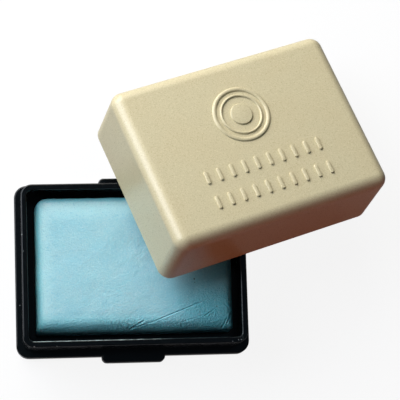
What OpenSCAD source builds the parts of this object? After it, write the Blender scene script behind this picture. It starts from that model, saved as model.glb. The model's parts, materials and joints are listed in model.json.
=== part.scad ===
// Kneaded eraser in its two-part moulded pocket case.
//
// The putty slab lies in a tray with a low upright wall. The wall stands inside
// the edge of a flange, and the closed lid would slip over the wall and stand on
// that flange. Here the lid is off: it leans on the back right corner of the
// tray, with two of its rim edges on the tray wall and one corner on the bench.
//
// Millimetres, +Z up. X runs along the width and +Y points to the back.
// The origin is the centre of the tray's underside.

/* [Case] */
// Outside width of the case, across the flange and the lid
case_w = 48; // [40:0.5:64]
// Outside depth of the case, across the flange and the lid
case_d = 35.7; // [28:0.1:48]
// Radius of the upright outside corners of the flange and the lid
corner_r = 2.6; // [1.8:0.1:5]
// Draft of every upright moulded face, per millimetre of height
draft = 0.005; // [0.002:0.001:0.015]
// Sideways play between the tray wall and the closed lid
lid_play = 0.2; // [0.1:0.05:0.5]

/* [Tray] */
// Height of the flange that the closed lid stands on
flange_h = 3; // [2:0.1:5]
// Height of the top of the tray wall above the bench
wall_top = 13.5; // [8:0.1:16]
// Thickness of the tray wall at its top
wall_t = 1.2; // [0.8:0.1:1.8]
// Radius of the upright outside corners of the tray wall
wall_corner_r = 2.3; // [1.9:0.1:4]
// Rounding of the tray's open edges
edge_r = 0.3; // [0.1:0.05:0.38]
// Depth of the hollow under the tray floor
hollow_h = 1.2; // [0.5:0.1:1.5]
// Thickness of the tray floor
floor_t = 1.3; // [0.8:0.1:2.5]
// Length of each finger tab along the flange
tab_w = 13; // [8:0.5:24]
// How far each finger tab stands out from the flange
tab_reach = 1.3; // [0.8:0.1:3]
// Radius of the finger tabs' corners
tab_corner_r = 1.1; // [0.5:0.1:1.3]

/* [Lid] */
// Outside height of the lid
lid_h = 16; // [15:0.5:24]
// Thickness of the lid wall at its rim
lid_wall_t = 1.1; // [0.8:0.1:1.6]
// Thickness of the lid top
lid_top_t = 1.4; // [1:0.1:2.5]
// Rounding of the lid's top edges
lid_fillet_r = 2.4; // [0.8:0.1:3]
// Rounding of the outside edge of the lid's rim
lid_rim_r = 0.2; // [0.1:0.05:0.4]

/* [Eraser] */
// Play between the slab and the tray wall's foot at the left and right
slab_play_x = 1.35; // [0.5:0.05:4]
// Play between the slab and the tray wall's foot at the front and back
slab_play_y = 1.2; // [0.5:0.05:4]
// Thickness of the putty slab
slab_h = 9; // [5:0.5:12]
// Radius of the slab's upright corners
slab_corner_r = 1.3; // [1.2:0.1:4]
// Rounding of the slab's long edges
slab_edge_r = 1; // [0.6:0.1:1.1]

/* [Lid at rest] */
// How far behind the middle of the tray the lid's front rim crosses the right wall
cross_y = 2.5; // [0:0.1:6]
// How far left of the middle of the tray the lid's left rim crosses the back wall
cross_x = 1.8; // [0:0.1:6]
// Turn of the lid in the plane of its rim, from the line through both crossings
rim_turn = 49.6; // [44:0.1:56]
// Gap left between the lid's rim and the tray wall that carries it
rest_gap = 0.02; // [0.01:0.01:0.2]

/* [Hidden] */

$fn = 96;

// Extra length of a cutter past the face that it opens
past = 1;
// Upright corner radius left inside the lid
lid_inner_corner_r = max(corner_r - lid_wall_t, 0.5);

// The tray wall stands inside the flange edge by the lid wall and its play
wall_inset = lid_wall_t + lid_play;
// Outside width and depth of the tray wall at its foot
wall_w = case_w - 2 * wall_inset;
wall_d = case_d - 2 * wall_inset;
// Thickness of the tray wall at its foot
wall_foot_t = wall_t + 2 * taper(wall_top - edge_r);
// Height of the tray floor's upper face, which carries the slab
floor_top = hollow_h + floor_t;
// Width and depth of the slab, which lies inside the wall's foot with its play
slab_w = wall_w - 2 * (wall_foot_t + slab_play_x);
slab_d = wall_d - 2 * (wall_foot_t + slab_play_y);

// Points on the tray wall's top edges where the lid's rim crosses them
on_right = [wall_w / 2 - taper(wall_top), cross_y];
on_back = [-cross_x, wall_d / 2 - taper(wall_top)];
crossing = on_right - on_back;
span = norm(crossing);
// In the plane of the rim: from the line of both crossings down to the middle of
// the rim rounding on the corner that stands on the bench
to_corner = (case_w - lid_wall_t - corner_r) * sin(rim_turn)
    + (case_d - lid_wall_t - corner_r) * cos(rim_turn)
    + corner_r - lid_rim_r - span * sin(rim_turn) * cos(rim_turn);
// Lean that brings that corner just down to the bench
rim_drop = wall_top + rest_gap - lid_rim_r;
lid_lean = asin(rim_drop / norm([to_corner, lid_rim_r])) + atan2(lid_rim_r, to_corner);

// Sideways shift of a drafted face over a height
function taper(h) = h * draft;

// Right half of a disc, which rounds one edge of a section
module edge_disc(r) {
    intersection() {
        circle(r);
        translate([0, -r]) square([r, 2 * r]);
    }
}

// Section of one side of a moulded block, out from the axis of its upright corner:
// the side leans inwards by the draft, and its top and foot edges are rounded.
// The base lies on y = 0 and may be carried on straight down.
module side_section(corner, h, top_r, foot_r = 0, below = 0) {
    top_c = [corner - taper(h - top_r) - top_r, h - top_r];
    foot_c = [corner - taper(foot_r) - foot_r, foot_r];
    polygon([
        [0, -below], [foot_c.x + taper(below), -below], [foot_c.x + foot_r, foot_r],
        [top_c.x + top_r, top_c.y], [top_c.x, h], [0, h]
    ]);
    translate(top_c) edge_disc(top_r);
    if (foot_r > 0)
        translate(foot_c) edge_disc(foot_r);
}

// Section right across a moulded block, with a side on both ends of a run
module cross_section(run, corner, h, top_r, foot_r = 0, below = 0) {
    translate([-run / 2, -below]) square([run, h + below]);
    for (end = [0, 1])
        mirror([end, 0]) translate([run / 2, 0]) side_section(corner, h, top_r, foot_r, below);
}

// Moulded block on z = 0 whose upright corners, draft and rounded edges run all
// the way round: two crossing straight runs and four turned corners.
module moulded_block(w, d, h, corner, top_r, foot_r = 0, below = 0) {
    run_x = w - 2 * corner;
    run_y = d - 2 * corner;
    rotate([90, 0, 90]) linear_extrude(run_x, center = true)
        cross_section(run_y, corner, h, top_r, foot_r, below);
    rotate([90, 0, 0]) linear_extrude(run_y, center = true)
        cross_section(run_x, corner, h, top_r, foot_r, below);
    at_corners(run_x, run_y)
        rotate_extrude(angle = 90) side_section(corner, h, top_r, foot_r, below);
}

// Puts a quarter-turn shape on the four corners of a rectangle
module at_corners(run_x, run_y) {
    for (turn = [0 : 3]) {
        along = turn % 2 == 0 ? [run_x, run_y] : [run_y, run_x];
        rotate([0, 0, 90 * turn]) translate([along.x / 2, along.y / 2, 0]) children();
    }
}

// Upright prism with rounded corners, for pockets that open on flat faces
module pocket(w, d, z0, z1, corner) {
    translate([0, 0, z0]) linear_extrude(z1 - z0) union() {
        square([w - 2 * corner, d], center = true);
        square([w, d - 2 * corner], center = true);
        for (x = [-1, 1], y = [-1, 1])
            translate([x * (w / 2 - corner), y * (d / 2 - corner)]) circle(corner);
    }
}

// Section of the tray wall, out from the axis of its upright corner: both faces
// spread downwards by the draft, and the top edges are rounded.
module wall_section() {
    spread = taper(wall_top - edge_r);
    outer_c = [wall_corner_r - spread - edge_r, wall_top - edge_r];
    inner_c = [outer_c.x + 2 * edge_r - wall_t, outer_c.y];
    polygon([
        [inner_c.x - edge_r - spread, 0], [outer_c.x + edge_r + spread, 0], [outer_c.x + edge_r, outer_c.y],
        [outer_c.x, wall_top], [inner_c.x, wall_top], [inner_c.x - edge_r, inner_c.y]
    ]);
    translate(outer_c) edge_disc(edge_r);
    translate(inner_c) mirror([1, 0]) edge_disc(edge_r);
}

// Upright wall of the tray: four straight runs and four turned corners
module tray_wall() {
    run_x = wall_w - 2 * wall_corner_r;
    run_y = wall_d - 2 * wall_corner_r;
    for (side = [0, 180]) {
        rotate([0, 0, side]) translate([run_x / 2, 0, 0])
            rotate([90, 0, 0]) linear_extrude(run_y, center = true) wall_section();
        rotate([0, 0, side + 90]) translate([run_y / 2, 0, 0])
            rotate([90, 0, 0]) linear_extrude(run_x, center = true) wall_section();
    }
    at_corners(run_x, run_y)
        rotate_extrude(angle = 90) wall_section();
}

// Tray: flange with a finger tab at the front and back, upright wall, floor with
// a shallow hollow under it
module base_tray() {
    // Where the wall's inner face meets the flange plate, in the wall's own stock
    well_w = wall_w - wall_t;
    well_d = wall_d - wall_t;
    well_corner_r = wall_corner_r - wall_t / 2;
    color("#17191a") {
        difference() {
            union() {
                moulded_block(case_w, case_d, flange_h, corner_r, edge_r);
                moulded_block(tab_w, case_d + 2 * tab_reach, flange_h, tab_corner_r, edge_r);
            }
            pocket(well_w, well_d, -past, flange_h + past, well_corner_r);
        }
        tray_wall();
        pocket(well_w, well_d, hollow_h, floor_top, well_corner_r);
    }
}

// Lid: hollow shell, open at its rim on z = 0, centred on the Z axis
module lid_shell() {
    fillet = min(lid_fillet_r, corner_r - taper(lid_h) - 0.1);
    inner_fillet = min(max(fillet - lid_wall_t, 0.3), lid_inner_corner_r - taper(lid_h) - 0.1);
    difference() {
        moulded_block(case_w, case_d, lid_h, corner_r, fillet, lid_rim_r);
        moulded_block(case_w - 2 * lid_wall_t, case_d - 2 * lid_wall_t, lid_h - lid_top_t,
            lid_inner_corner_r, inner_fillet, below = past);
    }
}

// Lid as it leans on the tray: its rim plane hinges on the line of both crossings
// until its far corner stands on the bench
module lid() {
    color("#d6c091")
        translate([on_right.x, on_right.y, wall_top + rest_gap])
            rotate([0, 0, atan2(crossing.y, crossing.x)])
                rotate([-lid_lean, 0, 0])
                    rotate([0, 0, rim_turn])
                        translate([
                            case_w / 2 - lid_wall_t - span * cos(rim_turn),
                            case_d / 2 - lid_wall_t,
                            0
                        ])
                            lid_shell();
}

// Putty slab, lying on the tray floor
module eraser() {
    color("#9fd0da")
        translate([0, 0, floor_top])
            moulded_block(slab_w, slab_d, slab_h, slab_corner_r, slab_edge_r, slab_edge_r / 2);
}

eraser();
base_tray();
lid();
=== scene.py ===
"""Kneaded eraser in its moulded pocket case: finishes, putty slab, relief, studio and camera.

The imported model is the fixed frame. The tray and the lid keep their own solids and get
their plastics here, the putty slab is modelled anew in the place of its plain solid, and a
plain raised pattern is added to the lid's top.
"""

import json
import logging
import math
from collections.abc import Callable
from dataclasses import dataclass, field
from enum import Enum

import bmesh
import bpy
from mathutils import Matrix, Vector

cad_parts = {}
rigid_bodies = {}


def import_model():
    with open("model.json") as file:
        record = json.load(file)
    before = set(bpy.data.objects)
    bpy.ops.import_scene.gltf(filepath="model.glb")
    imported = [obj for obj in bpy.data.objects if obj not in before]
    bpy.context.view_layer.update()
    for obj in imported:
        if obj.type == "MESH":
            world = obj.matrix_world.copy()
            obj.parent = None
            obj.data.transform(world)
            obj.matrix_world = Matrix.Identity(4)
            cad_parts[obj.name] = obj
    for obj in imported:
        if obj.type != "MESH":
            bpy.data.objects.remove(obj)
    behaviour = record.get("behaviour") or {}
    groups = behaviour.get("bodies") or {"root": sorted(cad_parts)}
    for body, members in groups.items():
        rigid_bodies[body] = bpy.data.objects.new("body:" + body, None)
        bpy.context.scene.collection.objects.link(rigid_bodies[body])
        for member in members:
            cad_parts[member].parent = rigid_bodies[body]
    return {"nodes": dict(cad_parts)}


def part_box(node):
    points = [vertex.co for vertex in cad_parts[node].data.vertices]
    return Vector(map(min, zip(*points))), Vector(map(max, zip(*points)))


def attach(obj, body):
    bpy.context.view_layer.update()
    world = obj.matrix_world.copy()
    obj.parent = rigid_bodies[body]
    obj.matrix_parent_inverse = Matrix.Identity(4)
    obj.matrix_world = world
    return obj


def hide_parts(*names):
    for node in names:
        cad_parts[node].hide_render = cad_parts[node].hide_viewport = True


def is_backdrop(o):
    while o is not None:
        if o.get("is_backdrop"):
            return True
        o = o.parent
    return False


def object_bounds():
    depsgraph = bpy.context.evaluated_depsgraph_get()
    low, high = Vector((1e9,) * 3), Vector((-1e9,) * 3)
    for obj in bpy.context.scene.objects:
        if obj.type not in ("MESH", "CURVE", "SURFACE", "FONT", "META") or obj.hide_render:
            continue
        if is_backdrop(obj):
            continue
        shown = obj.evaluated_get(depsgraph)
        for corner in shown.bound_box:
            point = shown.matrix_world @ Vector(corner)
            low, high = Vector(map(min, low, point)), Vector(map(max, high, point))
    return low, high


LOG = logging.getLogger("kneaded_eraser")
MM = 0.001
HAIR = 0.01 * MM  # slack for telling heights apart
SEEN_RAYS = ("Is Camera Ray", "Is Glossy Ray", "Is Transmission Ray")

Colour = tuple[float, float, float]
Point = tuple[float, float]
Span = tuple[float, float]
Spot = tuple[float, float, float]
Socket = bpy.types.NodeSocket
Value = Socket | float | tuple[float, ...]


# ---------------------------------------------------------------- small helpers


def deselect_all() -> None:
    """Leaves nothing selected, so that an operator acts on the new piece alone."""
    if bpy.context.object is not None and bpy.context.object.mode != "OBJECT":
        bpy.ops.object.mode_set(mode="OBJECT")
    for other in bpy.context.scene.objects:
        other.select_set(False)


def activate(piece: bpy.types.Object) -> None:
    """Makes a piece the only one selected, and the active one.

    Args:
        piece: The object.
    """
    deselect_all()
    piece.select_set(True)
    bpy.context.view_layer.objects.active = piece


def apply_modifier(piece: bpy.types.Object, kind: str, **settings: object) -> None:
    """Adds a modifier, sets it up and applies it to the mesh.

    Args:
        piece: The object that takes the modifier.
        kind: Blender's name for the modifier's type.
        **settings: Its properties by name.
    """
    activate(piece)
    modifier = piece.modifiers.new(kind.title(), kind)
    for name, value in settings.items():
        setattr(modifier, name, value)
    bpy.ops.object.modifier_apply(modifier=modifier.name)


def select_edges(piece: bpy.types.Object, wanted: Callable[[Vector, Vector], bool]) -> None:
    """Selects the edges of a piece in edit mode whose two end points pass a test.

    Args:
        piece: The active object, in edit mode.
        wanted: A function of the edge's two end points that says whether it is selected.
    """
    mesh = bmesh.from_edit_mesh(piece.data)
    mesh.select_mode = {"EDGE"}
    for edge in mesh.edges:
        edge.select_set(wanted(edge.verts[0].co, edge.verts[1].co))
    mesh.select_flush_mode()
    bmesh.update_edit_mesh(piece.data)


def settle(piece: bpy.types.Object, place: Matrix | None = None) -> None:
    """Puts a finished piece's place into its mesh and leaves its object at the origin.

    Args:
        piece: The finished piece.
        place: Where the piece goes, or None where it already lies in its place.
    """
    activate(piece)
    if place is not None:
        piece.matrix_world = place @ piece.matrix_world
    bpy.ops.object.transform_apply(location=True, rotation=True, scale=True)


# ------------------------------------------------------------------- materials


@dataclass(frozen=True)
class Noise:
    """A smooth noise: how far apart its lumps are, and its finer layers and their strength."""

    size: float
    layers: float = 2.0
    rough: float = 0.5


class NodeSheet:
    """The node tree of a material or of the world, with short calls for the nodes it needs."""

    def __init__(self, owner: bpy.types.Material | bpy.types.World) -> None:
        """Starts on the node tree that holds only an output and its shader.

        Args:
            owner: A new material or world.
        """
        owner.use_nodes = True
        self.tree = owner.node_tree
        self.output = next(node for node in self.tree.nodes if "Surface" in node.inputs)
        self.shader = self.output.inputs["Surface"].links[0].from_node

    def add(self, kind: str, **settings: object) -> bpy.types.Node:
        """Adds a node and sets its properties by name.

        Args:
            kind: Blender's name for the node's type.
            **settings: The node's properties by name.

        Returns:
            The node.
        """
        node = self.tree.nodes.new(kind)
        for name, value in settings.items():
            setattr(node, name, value)
        return node

    def put(self, value: Value, socket: Socket) -> None:
        """Links a socket to an input, or sets the input to a value.

        Args:
            value: An output socket, a number, a vector or a colour of three numbers.
            socket: The input that takes it.
        """
        if isinstance(value, Socket):
            self.tree.links.new(value, socket)
        elif socket.type == "RGBA":
            socket.default_value = (*value, 1.0)
        else:
            socket.default_value = value

    def feed(self, node: bpy.types.Node, **inputs: Value) -> bpy.types.Node:
        """Gives a node's inputs their values or links.

        Args:
            node: The node.
            **inputs: Values or output sockets, by input name in lower case with _ for a space.

        Returns:
            The same node.
        """
        sockets = {s.name.lower().replace(" ", "_"): s for s in node.inputs if s.enabled}
        for name, value in inputs.items():
            self.put(value, sockets[name])
        return node

    def place(self, origin: Vector = Vector()) -> Socket:
        """Object coordinates, counted from a point of the piece."""
        coordinates = self.add("ShaderNodeTexCoord").outputs["Object"]
        return self.math_vector("SUBTRACT", coordinates, tuple(origin))

    def axes(self, where: Socket) -> tuple[Socket, ...]:
        """The X, Y and Z sockets of some coordinates."""
        split = self.feed(self.add("ShaderNodeSeparateXYZ"), vector=where)
        return tuple(split.outputs[axis] for axis in "XYZ")

    def rays(self, *names: str) -> Socket:
        """Share that is 1 for any of the named kinds of ray, and 0 for the rest."""
        path = self.add("ShaderNodeLightPath")
        return self.math("MAXIMUM", *(path.outputs[name] for name in names))

    def math(self, operation: str, *values: Value) -> Socket:
        """Joins values into one by math nodes.

        Args:
            operation: Blender's name for the operation.
            *values: Numbers or sockets, taken from left to right, the first one a socket.

        Returns:
            The result's socket.
        """
        result = values[0]
        for value in values[1:]:
            node = self.add("ShaderNodeMath", operation=operation)
            self.put(result, node.inputs[0])
            self.put(value, node.inputs[1])
            result = node.outputs["Value"]
        return result

    def math_vector(self, operation: str, first: Value, second: Value,
                    result: str = "Vector") -> Socket:
        """Result of a vector math node.

        Args:
            operation: Blender's name for the operation.
            first: A vector or a socket.
            second: Another one.
            result: The name of the output that is wanted.

        Returns:
            The result's socket.
        """
        node = self.add("ShaderNodeVectorMath", operation=operation)
        self.put(first, node.inputs[0])
        self.put(second, node.inputs[1])
        return node.outputs[result]

    def noise(self, where: Socket, noise: Noise) -> Socket:
        """Adds a smooth noise.

        Args:
            where: Coordinates on the piece.
            noise: The noise's size and layers.

        Returns:
            A socket with values round 0.5.
        """
        node = self.add("ShaderNodeTexNoise")
        self.feed(node, vector=where, scale=1.0 / noise.size, detail=noise.layers,
                  roughness=noise.rough)
        return node.outputs["Fac"]

    def ramp(self, value: Socket, low: float, high: float, to_low: float = 0.0,
             to_high: float = 1.0) -> Socket:
        """Maps a value smoothly from one span onto another, and clamps outside.

        Args:
            value: The value's socket.
            low: Where the first span begins.
            high: Where it ends.
            to_low: The result at low.
            to_high: The result at high.

        Returns:
            The result's socket.
        """
        node = self.add("ShaderNodeMapRange", interpolation_type="SMOOTHSTEP")
        self.feed(node, value=value, from_min=low, from_max=high, to_min=to_low, to_max=to_high)
        return node.outputs["Result"]

    def fade(self, value: Socket, low: float, high: float, top: float = 1.0) -> Socket:
        """Falls smoothly from top to 0 while a value goes from low to high."""
        return self.ramp(value, low, high, top, 0.0)

    def mix(self, share: Value, first: Value, second: Value, way: str = "MIX") -> Socket:
        """Mixes two colours by a share.

        Args:
            share: How much of the second colour shows, a number or a socket.
            first: The colour at share 0, as three numbers or a socket.
            second: The colour at share 1.
            way: Blender's name for the way that they mix.

        Returns:
            The mixed colour's socket.
        """
        node = self.add("ShaderNodeMix", data_type="RGBA", blend_type=way)
        share_in, first_in, second_in = (s for s in node.inputs if s.enabled)
        self.put(share, share_in)
        self.put(first, first_in)
        self.put(second, second_in)
        return next(s for s in node.outputs if s.enabled)

    def blend(self, share: Socket, first: bpy.types.Node,
              second: bpy.types.Node) -> bpy.types.Node:
        """Blends two shaders by a share.

        Args:
            share: How much of the second shader shows.
            first: The shader at share 0.
            second: The shader at share 1.

        Returns:
            The node of the blend.
        """
        node = self.add("ShaderNodeMixShader")
        share_in, first_in, second_in = node.inputs
        self.put(share, share_in)
        self.put(first.outputs[0], first_in)
        self.put(second.outputs[0], second_in)
        return node

    def spot(self, where: Socket, place: Spot, soft: float) -> Socket:
        """Mask of a round spot, seen from above.

        Args:
            where: Coordinates on the piece.
            place: The spot's middle and its radius.
            soft: Width of its edge as a share of the radius.

        Returns:
            A socket that is 1 in the spot and 0 outside.
        """
        x, y, radius = place
        flat = self.math_vector("MULTIPLY", where, (1.0, 1.0, 0.0))
        away = self.math_vector("DISTANCE", flat, (x, y, 0.0), "Value")
        return self.fade(away, (1 - soft) * radius, (1 + soft) * radius)

    def band(self, value: Socket, low: float, high: float, soft: float) -> Socket:
        """Mask that is 1 from low to high, and fades to 0 over a width soft on both sides."""
        rise = self.ramp(value, low - soft, low)
        return self.math("MULTIPLY", rise, self.fade(value, high, high + soft))

    def bump(self, height: Socket, depth: float, below: Socket | None = None) -> Socket:
        """Adds a bump, laid over another one where there is one.

        Args:
            height: Heights from 0 to 1.
            depth: The height in metres that 1 stands for.
            below: The normal of the other bump, or None.

        Returns:
            The normal's socket.
        """
        node = self.add("ShaderNodeBump")
        self.feed(node, strength=1.0, distance=depth, height=height)
        if below is not None:
            self.feed(node, normal=below)
        return node.outputs["Normal"]


@dataclass(frozen=True)
class CreamPlastic:
    """Fine-speckled satin plastic of the lid."""

    tan: Colour = (0.595, 0.52, 0.330)
    dark_grain: Colour = (0.51, 0.44, 0.265)
    light_grain: Colour = (0.68, 0.605, 0.410)
    grain: Noise = Noise(0.24 * MM, 3.0, 0.7)
    dark_span: Span = (0.32, 0.50)
    light_span: Span = (0.52, 0.70)
    even: Colour = (1.0, 1.0, 1.0)
    warm: Colour = (1.0, 0.965, 0.93)
    clouds: Noise = Noise(9.0 * MM)
    cloud_span: Span = (0.35, 0.65)
    cloud_share: float = 0.35
    roughness: Span = (0.27, 0.33)
    roughness_span: Span = (0.3, 0.7)
    gloss: float = 0.55
    dimples: Noise = Noise(0.35 * MM)
    dimple_depth: float = 0.006 * MM

    def material(self) -> bpy.types.Material:
        """Builds the plastic's node tree.

        Returns:
            The material.
        """
        finish = bpy.data.materials.new("cream_plastic_finish")
        sheet = NodeSheet(finish)
        where = sheet.place()
        grain = sheet.noise(where, self.grain)
        clouds = sheet.noise(where, self.clouds)
        colour = sheet.mix(sheet.fade(grain, *self.dark_span), self.tan, self.dark_grain)
        colour = sheet.mix(sheet.ramp(grain, *self.light_span), colour, self.light_grain)
        warmth = sheet.ramp(clouds, *self.cloud_span, 0.0, self.cloud_share)
        colour = sheet.mix(1.0, colour, sheet.mix(warmth, self.even, self.warm), "MULTIPLY")
        sheet.feed(
            sheet.shader,
            base_color=colour,
            roughness=sheet.ramp(grain, *self.roughness_span, *self.roughness),
            specular_ior_level=self.gloss,
            normal=sheet.bump(sheet.noise(where, self.dimples), self.dimple_depth))
        return finish


@dataclass(frozen=True)
class BlackPlastic:
    """Satin black plastic of the tray, with a pale highlight painted along its inner rim and the
    dust of a desk on it.
    """

    black: Colour = (0.0018, 0.0026, 0.0032)
    scuffed: Colour = (0.0040, 0.0050, 0.0058)
    dust: Colour = (0.22, 0.24, 0.24)
    # pale colour painted along the inner rim as a highlight
    rim_highlight: Colour = (0.24, 0.30, 0.29)
    scuffs: Noise = Noise(1.6 * MM, 4.0, 0.7)
    scuff_span: Span = (0.45, 0.75)
    roughness: Span = (0.12, 0.21)
    grime: Noise = Noise(0.8 * MM, 3.0, 0.6)
    grime_span: Span = (0.3, 0.75)
    gloss: float = 0.3
    dimples: Noise = Noise(0.25 * MM)
    dimple_depth: float = 0.004 * MM
    # The wall's inner rim, from the tray's middle, and where a highlight is painted along it.
    rim_x: float = 21.43 * MM
    rim_y: float = 15.28 * MM
    rim_z: float = 13.2 * MM
    rim_rise: float = 0.1 * MM
    highlight_width: float = 0.14 * MM
    highlight_edge: float = 0.04 * MM
    highlight_left: float = -20.5 * MM
    highlight_left_edge: float = 0.3 * MM
    highlight_fade: float = 8.0 * MM
    highlight_faint: float = 0.12
    side_highlight: float = 0.2
    side_highlight_end: float = -7.0 * MM
    side_highlight_edge: float = 2.0 * MM
    highlight_patches: Noise = Noise(1.2 * MM, 3.0, 0.7)
    highlight_span: Span = (0.36, 0.64)
    highlight_least: float = 0.25
    fleck_pitch: float = 1.5 * MM
    fleck_span: Span = (0.04, 0.08)
    dust_patches: Noise = Noise(5.0 * MM, 1.0)
    dust_span: Span = (0.60, 0.68)
    crumb_edge: float = 0.35
    crumbs: tuple[Spot, ...] = (
        (20.6 * MM, -15.9 * MM, 0.10 * MM),
        (21.2 * MM, -15.9 * MM, 0.11 * MM),
        (19.4 * MM, -16.2 * MM, 0.08 * MM),
        (-20.4 * MM, -16.4 * MM, 0.15 * MM),
        (-15.9 * MM, -16.4 * MM, 0.09 * MM),
        (-22.5 * MM, 6.3 * MM, 0.11 * MM),
    )

    def rim_highlight_mask(self, sheet: NodeSheet, where: Socket) -> Socket:
        """Masks where a pale highlight is painted along the wall's inner rim: at the front, and a
        little at the right front.

        Args:
            sheet: The material's sheet.
            where: Coordinates on the tray.

        Returns:
            A socket that is 1 where the painted highlight is brightest.
        """
        x, y, _ = sheet.axes(where)
        front = sheet.math(
            "MULTIPLY",
            sheet.band(y, -self.rim_y - self.highlight_width, -self.rim_y, self.highlight_edge),
            sheet.band(x, self.highlight_left, self.rim_x, self.highlight_left_edge),
            sheet.ramp(x, 0.0, self.highlight_fade, 1.0, self.highlight_faint))
        side = sheet.math(
            "MULTIPLY",
            sheet.band(x, self.rim_x, self.rim_x + self.highlight_width, self.highlight_edge),
            sheet.band(y, -self.rim_y, self.side_highlight_end, self.side_highlight_edge),
            self.side_highlight)
        patches = sheet.noise(where, self.highlight_patches)
        patches = sheet.ramp(patches, *self.highlight_span, self.highlight_least, 1.0)
        return sheet.math("MULTIPLY", sheet.math("MAXIMUM", front, side), patches)

    def dust_and_rim_highlight(self, sheet: NodeSheet, where: Socket, colour: Socket) -> Socket:
        """Lays fine dust over the plastic, crumbs on top of the wall, and a painted highlight
        along the wall's inner rim.

        Args:
            sheet: The material's sheet.
            where: Coordinates on the tray.
            colour: The clean plastic's colour.

        Returns:
            The colour with the dust, the crumbs and the painted highlight.
        """
        flecks = sheet.add("ShaderNodeTexVoronoi", feature="F1")
        sheet.feed(flecks, vector=where, scale=1.0 / self.fleck_pitch, randomness=1.0)
        small = sheet.fade(flecks.outputs["Distance"], *self.fleck_span)
        patches = sheet.ramp(sheet.noise(where, self.dust_patches), *self.dust_span)
        colour = sheet.mix(sheet.math("MULTIPLY", small, patches), colour, self.dust)
        _, _, height = sheet.axes(where)
        high = sheet.ramp(height, self.rim_z, self.rim_z + self.rim_rise)
        for place in self.crumbs:
            crumb = sheet.math("MULTIPLY", sheet.spot(where, place, self.crumb_edge), high)
            colour = sheet.mix(crumb, colour, self.dust)
        # painted highlight: a pale line on the rim's top edge, fading towards the right
        return sheet.mix(sheet.math("MULTIPLY", self.rim_highlight_mask(sheet, where), high), colour, self.rim_highlight)

    def material(self) -> bpy.types.Material:
        """Builds the plastic's node tree.

        Returns:
            The material.
        """
        finish = bpy.data.materials.new("black_plastic_finish")
        sheet = NodeSheet(finish)
        where = sheet.place()
        scuffs = sheet.ramp(sheet.noise(where, self.scuffs), *self.scuff_span)
        grime = sheet.noise(where, self.grime)
        sheet.feed(
            sheet.shader,
            base_color=self.dust_and_rim_highlight(sheet, where, sheet.mix(scuffs, self.black, self.scuffed)),
            roughness=sheet.ramp(grime, *self.grime_span, *self.roughness),
            specular_ior_level=self.gloss,
            normal=sheet.bump(sheet.noise(where, self.dimples), self.dimple_depth))
        return finish


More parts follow.
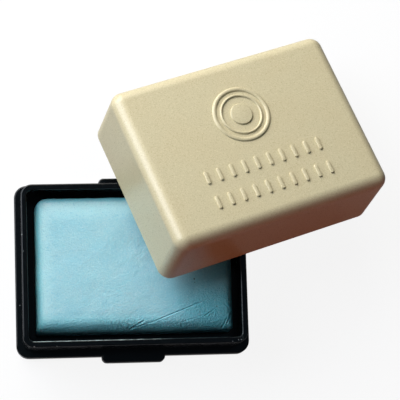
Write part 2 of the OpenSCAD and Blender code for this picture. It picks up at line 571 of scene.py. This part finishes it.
@dataclass(frozen=True)
class Putty:
    """Pale blue kneaded putty, matt and finely grained, with a few light scuffs, and with shade
    and shadow painted into its colour near its edges and under the lid.
    """

    blue: Colour = (0.345, 0.598, 0.650)
    deep: Colour = (0.255, 0.550, 0.650)
    # deeper teal painted where the slab lies in shade or shadow
    shade: Colour = (0.150, 0.565, 0.640)
    # darker teal painted into the hollows of the pores as shade
    painted_pit_shade: Colour = (0.13, 0.40, 0.48)
    pale: Colour = (0.44, 0.71, 0.77)
    # paler colour towards the left and back edges of the top
    paler_edge: Colour = (0.455, 0.730, 0.755)
    scuffed: Colour = (0.46, 0.70, 0.76)
    speck: Colour = (0.06, 0.10, 0.10)
    clouds: Noise = Noise(5.0 * MM, 3.0, 0.55)
    cloud_span: Span = (0.38, 0.62)
    cloud_share: float = 0.30
    # Where the putty is paler, and where shade and shadow are painted in a deeper teal (front
    # rounding, the lid's shadow, the shadows of the left and back walls), from the middle of its
    # top.
    left_paler: Span = (-19.0 * MM, -15.5 * MM)
    back_paler: Span = (8.5 * MM, 12.5 * MM)
    front_painted_shade: Span = (-13.0 * MM, -9.0 * MM)
    front_share: float = 0.8
    lid_shadow_across: Span = (3.0 * MM, 15.0 * MM)
    lid_shadow_back: Span = (-9.0 * MM, -1.0 * MM)
    lid_shadow_coarse: float = 0.6
    # painted shadows of the tray's left and back walls on the slab
    left_wall_painted_shadow: Span = (-19.6 * MM, -17.9 * MM)
    left_share: float = 0.9
    back_wall_painted_shadow: Span = (12.7 * MM, 13.6 * MM)
    back_share: float = 0.85
    grain: Noise = Noise(0.28 * MM, 3.0, 0.7)
    grain_depth: float = 0.026 * MM
    pale_span: Span = (0.50, 0.74)
    pale_share: float = 0.8
    deep_span: Span = (0.28, 0.50)
    scuffs: tuple[Spot, ...] = (
        (-10.0 * MM, 8.9 * MM, 1.1 * MM),
        (-0.1 * MM, 2.4 * MM, 1.2 * MM),
        (0.8 * MM, -6.0 * MM, 0.9 * MM),
    )
    scuff_edge: float = 0.6
    scuff_share: float = 0.55
    flecks: Noise = Noise(0.45 * MM, 2.0, 0.6)
    fleck_span: Span = (0.52, 0.62)
    specks: tuple[Spot, ...] = (
        (12.2 * MM, -3.2 * MM, 0.16 * MM),
        (12.3 * MM, -3.9 * MM, 0.09 * MM),
        (16.6 * MM, -8.9 * MM, 0.10 * MM),
    )
    speck_edge: float = 0.35
    pores: Noise = Noise(0.34 * MM, 2.0, 0.6)
    pore_depth: float = 0.55 * MM
    least_pores: float = 0.17
    pit_span: Span = (0.32, 0.50)
    pit_share: float = 0.5
    roughness: float = 0.62
    gloss: float = 0.35
    seep_share: float = 0.3
    seep_depth: float = 1.1 * MM
    seep_by_colour: Colour = (0.25, 0.9, 1.0)

    def marks(self, sheet: NodeSheet, where: Socket, colour: Socket) -> Socket:
        """Lays the flecked scuffs and the dark specks over the putty.

        Args:
            sheet: The material's sheet.
            where: Coordinates from the middle of the slab's top.
            colour: The putty's colour.

        Returns:
            The colour with the marks.
        """
        flecks = sheet.ramp(sheet.noise(where, self.flecks), *self.fleck_span)
        for place in self.scuffs:
            spot = sheet.spot(where, place, self.scuff_edge)
            mark = sheet.math("MULTIPLY", spot, flecks, self.scuff_share)
            colour = sheet.mix(mark, colour, self.scuffed)
        for place in self.specks:
            colour = sheet.mix(sheet.spot(where, place, self.speck_edge), colour, self.speck)
        return colour

    def material(self, middle: Vector) -> bpy.types.Material:
        """Builds the putty's node tree.

        Args:
            middle: The middle of the slab's top face.

        Returns:
            The material.
        """
        finish = bpy.data.materials.new("putty_finish")
        sheet = NodeSheet(finish)
        where = sheet.place(middle)
        across, back, _ = sheet.axes(where)
        clouds = sheet.noise(where, self.clouds)
        clouds = sheet.ramp(clouds, *self.cloud_span, 0.0, self.cloud_share)
        # paler towards the left and back edges of the top
        paler_edges = sheet.math("MAXIMUM", sheet.fade(across, *self.left_paler),
                          sheet.ramp(back, *self.back_paler))
        # painted shade on the front rounding, and the lid's painted shadow towards the right front
        front = sheet.fade(back, *self.front_painted_shade, self.front_share)
        corner = sheet.math("MULTIPLY", sheet.ramp(across, *self.lid_shadow_across),
                            sheet.fade(back, *self.lid_shadow_back))
        colour = sheet.mix(paler_edges, sheet.mix(clouds, self.blue, self.deep), self.paler_edge)
        # each mask mixes in the painted shade: front and lid's shadow, then the left wall's
        # shadow, then the back wall's shadow
        for share in (sheet.math("MAXIMUM", front, corner),
                      sheet.fade(across, *self.left_wall_painted_shadow, self.left_share),
                      sheet.ramp(back, *self.back_wall_painted_shadow, 0.0, self.back_share)):
            colour = sheet.mix(share, colour, self.shade)
        grain = sheet.noise(where, self.grain)
        light = sheet.ramp(grain, *self.pale_span, 0.0, self.pale_share)
        colour = sheet.mix(light, colour, self.pale)
        colour = sheet.mix(sheet.fade(grain, *self.deep_span), colour, self.deep)
        colour = self.marks(sheet, where, colour)
        # the painted-shade band gets coarser pores, and their hollows get painted shade
        coarse = sheet.math("MAXIMUM", front, sheet.math("MULTIPLY", corner, self.lid_shadow_coarse))
        pores = sheet.noise(where, self.pores)
        pit_shade_share = sheet.math("MULTIPLY", sheet.fade(pores, *self.pit_span), coarse, self.pit_share)
        relief = sheet.math("MULTIPLY", pores, sheet.math("MAXIMUM", coarse, self.least_pores))
        pored = sheet.bump(relief, self.pore_depth)
        sheet.feed(
            sheet.shader,
            base_color=sheet.mix(pit_shade_share, colour, self.painted_pit_shade),
            roughness=self.roughness,
            specular_ior_level=self.gloss,
            subsurface_weight=self.seep_share,
            subsurface_scale=self.seep_depth,
            subsurface_radius=self.seep_by_colour,
            normal=sheet.bump(grain, self.grain_depth, pored))
        return finish


# --------------------------------------------------------------------- the lid


SQUARE = 0.02  # largest share of another direction in an upright face's own


@dataclass(frozen=True)
class LidAxes:
    """Where the lid lies: the middle of its top face and its own three directions."""

    middle: Vector
    across: Vector
    back: Vector
    up: Vector

    @classmethod
    def of(cls, lid: bpy.types.Object) -> "LidAxes":
        """Reads the lid's directions off its flat faces.

        Args:
            lid: The lid's own object.

        Returns:
            Its axes. The top is the largest face that looks up, and the back is the
            largest upright face that looks to the back.
        """
        faces: dict[tuple[float, ...], Vector] = {}
        for face in lid.data.polygons:
            key = tuple(round(x, 2) for x in face.normal)
            faces[key] = faces.get(key, Vector()) + face.normal * face.area
        up = max((f for f in faces.values() if f.z > 0), key=lambda f: f.length).normalized()
        upright = (f for f in faces.values() if abs(f.normalized() @ up) < SQUARE and f.y > 0)
        back = max(upright, key=lambda f: f.length)
        back = (back - up * (back @ up)).normalized()
        across = back.cross(up)
        points = [v.co for v in lid.data.vertices]
        spans = [[p @ axis for p in points] for axis in (across, back, up)]
        middle = up * max(spans[2])
        for axis, span in zip((across, back), spans):
            middle += axis * (min(span) + max(span)) / 2
        return cls(middle, across, back, up)

    def place(self) -> Matrix:
        """Matrix that takes the lid's own directions, from the middle of its top, to the frame."""
        turn = Matrix((self.across, self.back, self.up)).transposed()
        return Matrix.Translation(self.middle) @ turn.to_4x4()


@dataclass
class LidRelief:
    """Plain raised pattern on the lid's top: a double ring round a boss, and two rows of ribs."""

    axes: LidAxes
    stand: float = 0.33 * MM
    sunk: float = 0.12 * MM
    ring_y: float = 5.3 * MM
    ring_r: float = 5.6 * MM
    ring_bead: float = 0.45 * MM
    ring_steps: int = 96
    bead_steps: int = 16
    inner_ring_r: float = 4.2 * MM
    inner_ring_bead: float = 0.28 * MM
    boss_r: float = 2.3 * MM
    boss_steps: int = 64
    boss_round: float = 0.2 * MM
    boss_round_steps: int = 5
    rib_rows: tuple[float, ...] = (-5.5 * MM, -11.0 * MM)
    rib_count: int = 10
    rib_pitch: float = 2.8 * MM
    rib_l: float = 2.8 * MM
    rib_w: float = 0.75 * MM
    rib_end: float = 0.46
    rib_end_steps: int = 6
    rib_round: float = 0.17 * MM
    rib_round_steps: int = 4
    smooth_below: float = 40.0
    parts: list[bpy.types.Object] = field(default_factory=list)

    def ring(self, radius: float, bead: float) -> None:
        """Adds a ring whose section is a low rounded bead.

        Args:
            radius: The radius of the bead's middle line.
            bead: Half the bead's width.
        """
        deselect_all()
        bpy.ops.mesh.primitive_torus_add(
            major_radius=radius, minor_radius=bead, major_segments=self.ring_steps,
            minor_segments=self.bead_steps, location=(0.0, self.ring_y, 0.0))
        ring = bpy.context.object
        bpy.ops.object.mode_set(mode="EDIT")
        bpy.ops.mesh.select_all(action="SELECT")
        bpy.ops.transform.resize(value=(1.0, 1.0, self.stand / bead))
        bpy.ops.object.mode_set(mode="OBJECT")
        self.parts.append(ring)

    def round_top(self, piece: bpy.types.Object, radius: float, steps: int) -> None:
        """Rounds the edge of an upright shape's top face, in edit mode.

        Args:
            piece: The shape, as high as the pattern stands.
            radius: How far the rounding reaches.
            steps: How many faces it takes.
        """
        top = self.stand - HAIR
        select_edges(piece, lambda a, b: a.z > top and b.z > top)
        bpy.ops.mesh.bevel(offset=radius, segments=steps, affect="EDGES")

    def boss(self) -> None:
        """Adds the low domed boss in the middle of the rings."""
        deselect_all()
        bpy.ops.mesh.primitive_cylinder_add(
            vertices=self.boss_steps, radius=self.boss_r, depth=self.stand + self.sunk,
            location=(0.0, self.ring_y, (self.stand - self.sunk) / 2))
        boss = bpy.context.object
        settle(boss)
        bpy.ops.object.mode_set(mode="EDIT")
        self.round_top(boss, self.boss_round, self.boss_round_steps)
        bpy.ops.object.mode_set(mode="OBJECT")
        self.parts.append(boss)

    def rib(self) -> bpy.types.Object:
        """Models one short rib with round ends and a rounded top.

        Returns:
            The rib, standing in the middle of the lid's top.
        """
        deselect_all()
        middle = (0.0, 0.0, (self.stand - self.sunk) / 2)
        bpy.ops.mesh.primitive_cube_add(size=1.0, location=middle)
        rib = bpy.context.object
        rib.scale = (self.rib_w, self.rib_l, self.stand + self.sunk)
        settle(rib)
        bpy.ops.object.mode_set(mode="EDIT")
        select_edges(rib, lambda a, b: abs(a.z - b.z) > self.stand)
        bpy.ops.mesh.bevel(offset=self.rib_end * self.rib_w, segments=self.rib_end_steps,
                           affect="EDGES")
        self.round_top(rib, self.rib_round, self.rib_round_steps)
        bpy.ops.object.mode_set(mode="OBJECT")
        return rib

    def ribs(self) -> None:
        """Copies the rib along its rows."""
        rib = self.rib()
        for y in self.rib_rows:
            for step in range(self.rib_count):
                copy = rib.copy()
                copy.data = rib.data.copy()
                bpy.context.scene.collection.objects.link(copy)
                shift = (step - (self.rib_count - 1) / 2) * self.rib_pitch
                copy.location = (shift, y, 0.0)
                self.parts.append(copy)
        bpy.data.objects.remove(rib)

    def build(self, finish: bpy.types.Material) -> bpy.types.Object:
        """Builds the whole pattern as one piece of the lid's plastic, in its place.

        Args:
            finish: The lid's material.

        Returns:
            The finished piece.
        """
        self.ring(self.ring_r, self.ring_bead)
        self.ring(self.inner_ring_r, self.inner_ring_bead)
        self.boss()
        self.ribs()
        deselect_all()
        for part in self.parts:
            part.select_set(True)
        bpy.context.view_layer.objects.active = self.parts[0]
        bpy.ops.object.join()
        relief = bpy.context.object
        relief.name = relief.data.name = "lid_relief"
        settle(relief, self.axes.place())
        bpy.ops.object.shade_smooth_by_angle(angle=math.radians(self.smooth_below))
        relief.data.materials.clear()
        relief.data.materials.append(finish)
        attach(relief, "root")
        return relief


# ------------------------------------------------------------------- the putty


@dataclass(frozen=True)
class Groove:
    """A scratch or crease pressed into the putty, in the slab's plane from its middle.

    Its lip's place and its reach count in half widths, and its overrun in its own length.
    """

    start: Point
    end: Point
    half_width: float
    depth: float
    lip: float
    lip_at: float = 2.0
    reach: float = 4.0
    overrun: float = 0.05
    blunt: float = 0.4

    def press(self, x: float, y: float) -> float:
        """How far a point of the surface moves up (lip) or down (groove).

        Args:
            x: The point's place across the slab, from its middle.
            y: Its place towards the back.

        Returns:
            The move in metres.
        """
        run = Vector(self.end) - Vector(self.start)
        offset = Vector((x, y)) - Vector(self.start)
        along = offset @ run / run.length_squared
        side = offset.cross(run) / run.length
        across = abs(side) / self.half_width
        if not -self.overrun < along < 1 + self.overrun or across > self.reach:
            return 0.0
        ends = max(math.sin(math.pi * min(max(along, 0.0), 1.0)), 0.0) ** self.blunt
        floor = math.exp(-(across ** 2))
        rim = math.exp(-((across - self.lip_at) ** 2))
        return ends * (self.lip * rim - self.depth * floor)

    def near(self, x: float, y: float, reach: float) -> bool:
        """Whether a point lies near the groove.

        Args:
            x: The point's place across the slab, from its middle.
            y: Its place towards the back.
            reach: How near it has to be.

        Returns:
            True where it is nearer than that.
        """
        start, end, spot = Vector(self.start), Vector(self.end), Vector((x, y))
        run = end - start
        along = min(max((spot - start) @ run / run.length_squared, 0.0), 1.0)
        return (start + run * along - spot).length < reach


@dataclass(frozen=True)
class Kneading:
    """One set of soft lumps in the putty: its name, and the lumps' size and height."""

    name: str
    size: float
    height: float


@dataclass
class PuttySlab:
    """The soft slab, shaped from a block: rounded, kneaded, pressed and scratched."""

    low: Vector
    high: Vector
    # The radii of its edges and of its upright corners.
    back_r: float = 0.75 * MM
    left_r: float = 1.8 * MM
    front_r: float = 2.4 * MM
    right_r: float = 1.7 * MM
    back_left_r: float = 2.6 * MM
    front_left_r: float = 0.5 * MM
    front_right_r: float = 0.5 * MM
    back_right_r: float = 1.6 * MM
    foot_r: float = 0.8 * MM
    # How far its top falls towards three of its edges, and from how far in.
    back_fall: float = 0.75 * MM
    back_reach: float = 6.0 * MM
    left_fall: float = 0.35 * MM
    left_reach: float = 5.0 * MM
    front_fall: float = 0.9 * MM
    front_tilt: float = 0.4
    front_reach: float = 5.2 * MM
    front_gap: float = 0.45 * MM
    edge_steps: int = 10
    voxel: float = 0.27 * MM
    smoothing: float = 0.5
    smoothing_rounds: int = 3
    kneadings: tuple[Kneading, ...] = (
        Kneading("swell", 8.0 * MM, 0.30 * MM),
        Kneading("lumps", 2.2 * MM, 0.07 * MM),
        Kneading("creases", 0.75 * MM, 0.055 * MM),
    )
    knead_level: float = 0.7
    firm_foot: float = 0.15
    firm_fade: float = 0.35
    groove_zone: float = 3.0 * MM
    fine_reach: float = 0.8 * MM
    fine_cuts: int = 3
    grooves: tuple[Groove, ...] = (
        Groove((15.1 * MM, -7.3 * MM), (3.6 * MM, -11.7 * MM), 0.11 * MM, 0.15 * MM, 0.03 * MM),
        Groove((4.6 * MM, -11.4 * MM), (-1.4 * MM, -13.1 * MM), 0.12 * MM, 0.10 * MM, 0.03 * MM),
        Groove((16.5 * MM, -9.2 * MM), (13.6 * MM, -11.1 * MM), 0.11 * MM, 0.16 * MM, 0.03 * MM),
        Groove((15.2 * MM, -10.2 * MM), (7.6 * MM, -12.4 * MM), 0.10 * MM, 0.06 * MM, 0.02 * MM),
        Groove((19.6 * MM, -10.3 * MM), (18.6 * MM, -12.4 * MM), 0.15 * MM, 0.28 * MM, 0.06 * MM),
        Groove((18.8 * MM, -11.0 * MM), (17.6 * MM, -13.2 * MM), 0.12 * MM, 0.20 * MM, 0.05 * MM),
        Groove((18.1 * MM, -8.3 * MM), (19.0 * MM, -9.0 * MM), 0.15 * MM, 0.14 * MM, 0.05 * MM),
        Groove((1.8 * MM, -11.5 * MM), (-0.9 * MM, -12.9 * MM), 0.15 * MM, 0.14 * MM, 0.05 * MM),
    )

    @property
    def middle(self) -> Vector:
        """The middle of the slab's top face."""
        return Vector((*((self.low + self.high) / 2).xy, self.high.z))

    def rounding(self, a: Vector, b: Vector) -> float:
        """Radius of one of the block's edges.

        Args:
            a: One end of the edge.
            b: Its other end.

        Returns:
            The radius in metres.
        """
        mid = (a + b) / 2 - self.middle
        if abs(a.z - b.z) > MM:
            front = self.front_right_r if mid.x > 0 else self.front_left_r
            back = self.back_right_r if mid.x > 0 else self.back_left_r
            return back if mid.y > 0 else front
        if mid.z < -MM:
            return self.foot_r
        if abs(a.x - b.x) > MM:
            return self.back_r if mid.y > 0 else self.front_r
        return self.right_r if mid.x > 0 else self.left_r

    def block(self) -> bpy.types.Object:
        """Makes the block, with every edge rounded by its own radius, in a fine even mesh.

        Returns:
            The block.
        """
        deselect_all()
        low = self.low + Vector((0.0, self.front_gap, 0.0))
        bpy.ops.mesh.primitive_cube_add(size=1.0, location=(low + self.high) / 2)
        slab = bpy.context.object
        slab.name = slab.data.name = "putty_slab"
        slab.scale = self.high - low
        settle(slab)
        largest = max(self.front_r, self.back_left_r)
        weights = slab.data.attributes.new("bevel_weight_edge", "FLOAT", "EDGE")
        points = slab.data.vertices
        for edge in slab.data.edges:
            a, b = (points[i].co for i in edge.vertices)
            weights.data[edge.index].value = self.rounding(a, b) / largest
        apply_modifier(slab, "BEVEL", width=largest, segments=self.edge_steps,
                       limit_method="WEIGHT", use_clamp_overlap=False)
        apply_modifier(slab, "REMESH", mode="VOXEL", voxel_size=self.voxel, use_smooth_shade=True)
        apply_modifier(slab, "SMOOTH", factor=self.smoothing, iterations=self.smoothing_rounds)
        return slab

    def height_share(self, z: float) -> float:
        """0 at the slab's foot and 1 at its top."""
        return min(max((z - self.low.z) / (self.high.z - self.low.z), 0.0), 1.0)

    def crown(self, slab: bpy.types.Object) -> None:
        """Lets the top fall gently towards its back, left and front edges.

        Args:
            slab: The rounded block.
        """
        middle = self.middle
        for vertex in slab.data.vertices:
            x, y, z = vertex.co
            back = max(1 - (self.high.y - y) / self.back_reach, 0.0)
            left = max(1 - (x - self.low.x) / self.left_reach, 0.0)
            front = max(1 - (y - self.low.y) / self.front_reach, 0.0)
            tilt = 1 + self.front_tilt * (x - middle.x) / (self.high.x - middle.x)
            fall = self.back_fall * back ** 2 + self.left_fall * left ** 2
            fall += tilt * self.front_fall * front ** 2
            vertex.co.z -= fall * self.height_share(z)

    def knead(self, slab: bpy.types.Object) -> None:
        """Gives the sides and the top the slight lumps of hand-worked putty.

        Args:
            slab: The rounded block, whose foot stays as it is.
        """
        free = slab.vertex_groups.new(name="free")
        for vertex in slab.data.vertices:
            above = self.height_share(vertex.co.z) - self.firm_foot
            free.add([vertex.index], min(max(above / self.firm_fade, 0.0), 1.0), "REPLACE")
        for kneading in self.kneadings:
            clouds = bpy.data.textures.new(kneading.name, "CLOUDS")
            clouds.noise_scale = kneading.size
            clouds.noise_depth = 1
            apply_modifier(slab, "DISPLACE", texture=clouds, texture_coords="LOCAL",
                           strength=kneading.height, mid_level=self.knead_level,
                           vertex_group="free")
            bpy.data.textures.remove(clouds)

    def scratch(self, slab: bpy.types.Object) -> None:
        """Refines the mesh round the grooves and presses them into the top.

        Args:
            slab: The kneaded slab.
        """
        middle = self.middle
        activate(slab)
        bpy.ops.object.mode_set(mode="EDIT")
        mesh = bmesh.from_edit_mesh(slab.data)
        for face in mesh.faces:
            spot = face.calc_center_median() - middle
            close = any(g.near(spot.x, spot.y, self.fine_reach) for g in self.grooves)
            face.select_set(close and spot.z > -self.groove_zone)
        bmesh.update_edit_mesh(slab.data)
        bpy.ops.mesh.subdivide(number_cuts=self.fine_cuts)
        bpy.ops.object.mode_set(mode="OBJECT")
        normals = [v.normal.copy() for v in slab.data.vertices]
        for vertex, normal in zip(slab.data.vertices, normals):
            spot = vertex.co - middle
            if spot.z > -self.groove_zone:
                vertex.co += normal * sum(g.press(spot.x, spot.y) for g in self.grooves)

    def keep_inside(self, slab: bpy.types.Object) -> None:
        """Presses what stands past the plain solid's faces back onto them.

        Args:
            slab: The slab, worked all over.
        """
        for vertex in slab.data.vertices:
            limits = zip(vertex.co, self.low, self.high)
            vertex.co = [min(max(place, low), high) for place, low, high in limits]

    def build(self) -> bpy.types.Object:
        """Builds the slab and puts it in the place of its plain solid.

        Returns:
            The finished piece.
        """
        slab = self.block()
        self.crown(slab)
        self.knead(slab)
        self.scratch(slab)
        self.keep_inside(slab)
        settle(slab)
        bpy.ops.object.shade_smooth()
        slab.data.materials.clear()
        slab.data.materials.append(Putty().material(self.middle))
        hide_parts("eraser")
        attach(slab, "root")
        return slab


# ------------------------------------------------------------------ the studio


class LampRole(Enum):
    """What a lamp is for, with its direction from the object."""

    KEY = (-0.71, 0.39, 0.59)
    BACK = (-0.28, 0.84, 0.46)
    WARM_CARD = (0.42, -0.90, 0.05)


@dataclass(frozen=True)
class Lamp:
    """A soft area lamp that looks at the object."""

    role: LampRole
    power: float
    width: float
    distance: float
    colour: Colour = (1.0, 1.0, 1.0)
    mirrored: bool = True

    def light(self, target: Vector) -> bpy.types.Object:
        """Hangs the lamp in its place.

        Args:
            target: The point that the lamp looks at.

        Returns:
            The lamp's object.
        """
        name = self.role.name.lower() + "_lamp"
        data = bpy.data.lights.new(name, "AREA")
        data.shape = "DISK"
        data.size = self.width
        data.energy = self.power
        data.color = self.colour
        lamp = bpy.data.objects.new(name, data)
        away = Vector(self.role.value).normalized()
        lamp.location = target + away * self.distance
        lamp.rotation_mode = "QUATERNION"
        lamp.rotation_quaternion = (-away).to_track_quat("-Z", "Y")
        lamp.visible_camera = False
        lamp.visible_glossy = self.mirrored
        bpy.context.scene.collection.objects.link(lamp)
        return lamp


@dataclass
class Studio:
    """Pale floor, soft lamps, dim room and the camera."""

    low: Vector
    high: Vector
    azimuth: float = -32.297
    elevation: float = 79.835
    roll: float = 30.918
    distance: float = 391.77 * MM
    aim: Vector = field(default_factory=lambda: Vector((0.03 * MM, -1.13 * MM, 0.0)))
    lens: float = 174.74
    sensor: float = 36.0
    clip: Span = (0.01, 20.0)
    floor_side: float = 6.0
    pale: Colour = (0.90, 0.90, 0.90)
    mirrored_pale: Colour = (0.40, 0.40, 0.40)
    glow: float = 0.89
    mirrored_glow: float = 0.06
    glow_colour: Colour = (1.0, 1.0, 1.0)
    bounce: Colour = (0.06, 0.05, 0.045)
    room: Colour = (0.020, 0.032, 0.035)
    ceiling: Colour = (0.07, 0.10, 0.13)
    horizon: Colour = (0.60, 0.62, 0.64)
    horizon_span: Span = (-0.05, 0.30)
    lamps: tuple[Lamp, ...] = (
        Lamp(LampRole.KEY, power=2.14, width=0.40, distance=0.42, colour=(0.93, 1.0, 1.11)),
        Lamp(LampRole.BACK, power=1.7, width=0.36, distance=0.42, colour=(1.05, 1.0, 0.92)),
        Lamp(LampRole.WARM_CARD, power=0.54, width=0.16, distance=0.5, colour=(1.0, 0.20, 0.06),
             mirrored=False),
    )

    @property
    def target(self) -> Vector:
        """The point that the camera and the lamps look at."""
        return (self.low + self.high) / 2 + self.aim

    def floor_paint(self) -> bpy.types.Material:
        """Makes the floor white where it is seen, and dim where it lights the object.

        Returns:
            The material.
        """
        finish = bpy.data.materials.new("pale_floor")
        sheet = NodeSheet(finish)
        sheet.tree.nodes.remove(sheet.shader)
        straight = sheet.rays("Is Camera Ray")
        colour = sheet.mix(straight, self.mirrored_pale, self.pale)
        more = sheet.math("MULTIPLY", straight, self.glow - self.mirrored_glow)
        shade = sheet.feed(sheet.add("ShaderNodeBsdfDiffuse"), color=colour)
        glow = sheet.feed(sheet.add("ShaderNodeEmission"), color=self.glow_colour, strength=1.0)
        seen = sheet.blend(sheet.math("ADD", more, self.mirrored_glow), shade, glow)
        bounce = sheet.feed(sheet.add("ShaderNodeBsdfDiffuse"), color=self.bounce)
        both = sheet.blend(sheet.rays(*SEEN_RAYS), bounce, seen)
        sheet.feed(sheet.output, surface=both.outputs["Shader"])
        return finish

    def floor(self) -> bpy.types.Object:
        """Lays the pale floor under the object.

        Returns:
            The floor.
        """
        deselect_all()
        bpy.ops.mesh.primitive_plane_add(size=self.floor_side, location=(0.0, 0.0, self.low.z))
        floor = bpy.context.object
        floor.name = "floor"
        settle(floor)
        floor.data.materials.append(self.floor_paint())
        floor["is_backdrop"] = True
        return floor

    def walls(self) -> None:
        """Gives the room its dim fill light, and a pale horizon under a dim ceiling to mirror."""
        world = bpy.data.worlds.new("room")
        bpy.context.scene.world = world
        sheet = NodeSheet(world)
        _, _, height = sheet.axes(sheet.add("ShaderNodeTexCoord").outputs["Generated"])
        sky = sheet.mix(sheet.ramp(height, *self.horizon_span), self.horizon, self.ceiling)
        sheet.feed(sheet.shader, color=sheet.mix(sheet.rays(*SEEN_RAYS), self.room, sky))

    def camera(self) -> bpy.types.Object:
        """Sets the camera up and makes it the scene's.

        Returns:
            The camera.
        """
        data = bpy.data.cameras.new("camera")
        data.sensor_width = self.sensor
        data.lens = self.lens
        data.clip_start, data.clip_end = self.clip
        camera = bpy.data.objects.new("camera", data)
        azimuth, elevation = math.radians(self.azimuth), math.radians(self.elevation)
        level = math.cos(elevation)
        away = Vector((math.sin(azimuth) * level, -math.cos(azimuth) * level, math.sin(elevation)))
        look = (-away).to_track_quat("-Z", "Y").to_matrix()
        turn = look @ Matrix.Rotation(math.radians(self.roll), 3, "Z")
        place = Matrix.Translation(self.target + away * self.distance)
        camera.matrix_world = place @ turn.to_4x4()
        bpy.context.scene.collection.objects.link(camera)
        bpy.context.scene.camera = camera
        return camera

    def build(self) -> None:
        """Sets up the whole studio."""
        bpy.context.scene.view_settings.view_transform = "Standard"
        self.camera()
        self.floor()
        self.walls()
        for lamp in self.lamps:
            lamp.light(self.target)


# -------------------------------------------------------------------- the case


@dataclass
class PocketCase:
    """The tray and the lid, whose own solids take their plastics."""

    tray: bpy.types.Object
    lid: bpy.types.Object

    def dress(self) -> bpy.types.Material:
        """Gives the tray and the lid their finishes.

        Returns:
            The lid's material, for what is moulded on it.
        """
        black, cream = BlackPlastic().material(), CreamPlastic().material()
        for piece, finish in ((self.tray, black), (self.lid, cream)):
            for slot in piece.material_slots:
                slot.material = finish
        return cream


def main() -> None:
    """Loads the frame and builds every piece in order."""
    logging.basicConfig(level=logging.INFO, format="%(name)s %(message)s")
    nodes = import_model()["nodes"]
    cad_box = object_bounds()
    studio = Studio(*cad_box)
    studio.build()
    LOG.info("studio: %d lamps", len(studio.lamps))
    case = PocketCase(nodes["base_tray"], nodes["lid"])
    cream = case.dress()
    relief = LidRelief(LidAxes.of(case.lid)).build(cream)
    slab = PuttySlab(*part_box("eraser")).build()
    for piece in (case.tray, case.lid, relief, slab):
        finish = piece.material_slots[0].material
        LOG.info("%s: %d faces in %s", piece.name, len(piece.data.polygons), finish.name)


if __name__ == "__main__":
    main()
